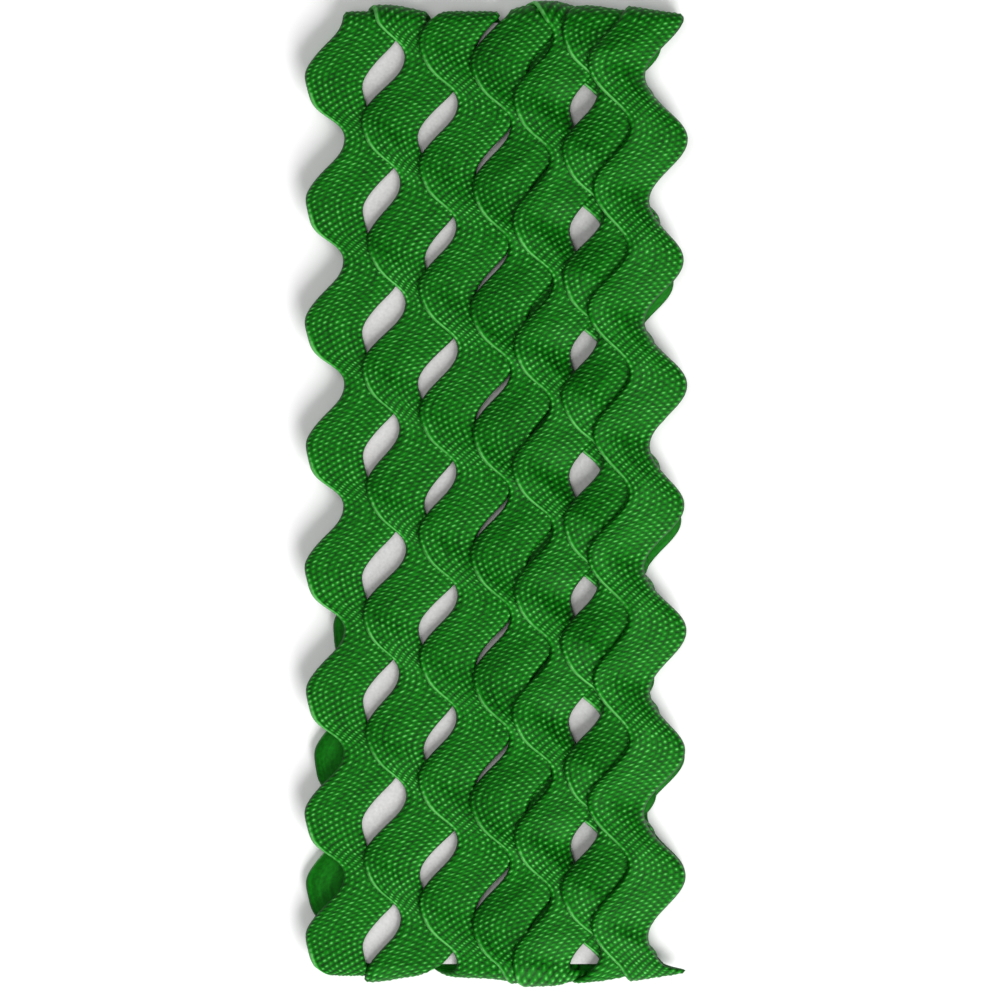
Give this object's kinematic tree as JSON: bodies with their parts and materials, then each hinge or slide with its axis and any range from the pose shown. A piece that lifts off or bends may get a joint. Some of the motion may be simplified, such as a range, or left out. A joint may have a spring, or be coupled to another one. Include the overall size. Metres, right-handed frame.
{
  "type": "ric rac winding",
  "caption": "Zigzag braid trimming wound lengthwise round a flat card, its turns shingled so that leaf-shaped gaps show the card.",
  "frame": {"origin": "middle of the underside's bounding rectangle, on the surface that the winding lies on", "axes": "+Y along the turns towards the folds at the top of the face, +X across the turns, +Z out of the face that is looked at"},
  "size_m": [0.0507, 0.1307, 0.007],
  "materials": {
    "ric_rac": "braided polyester with a soft sheen",
    "card": "uncoated grey paperboard"
  },
  "bodies": {
    "root": {"ric_rac_winding": "ric_rac", "winding_card": "card"}
  },
  "joints": []
}
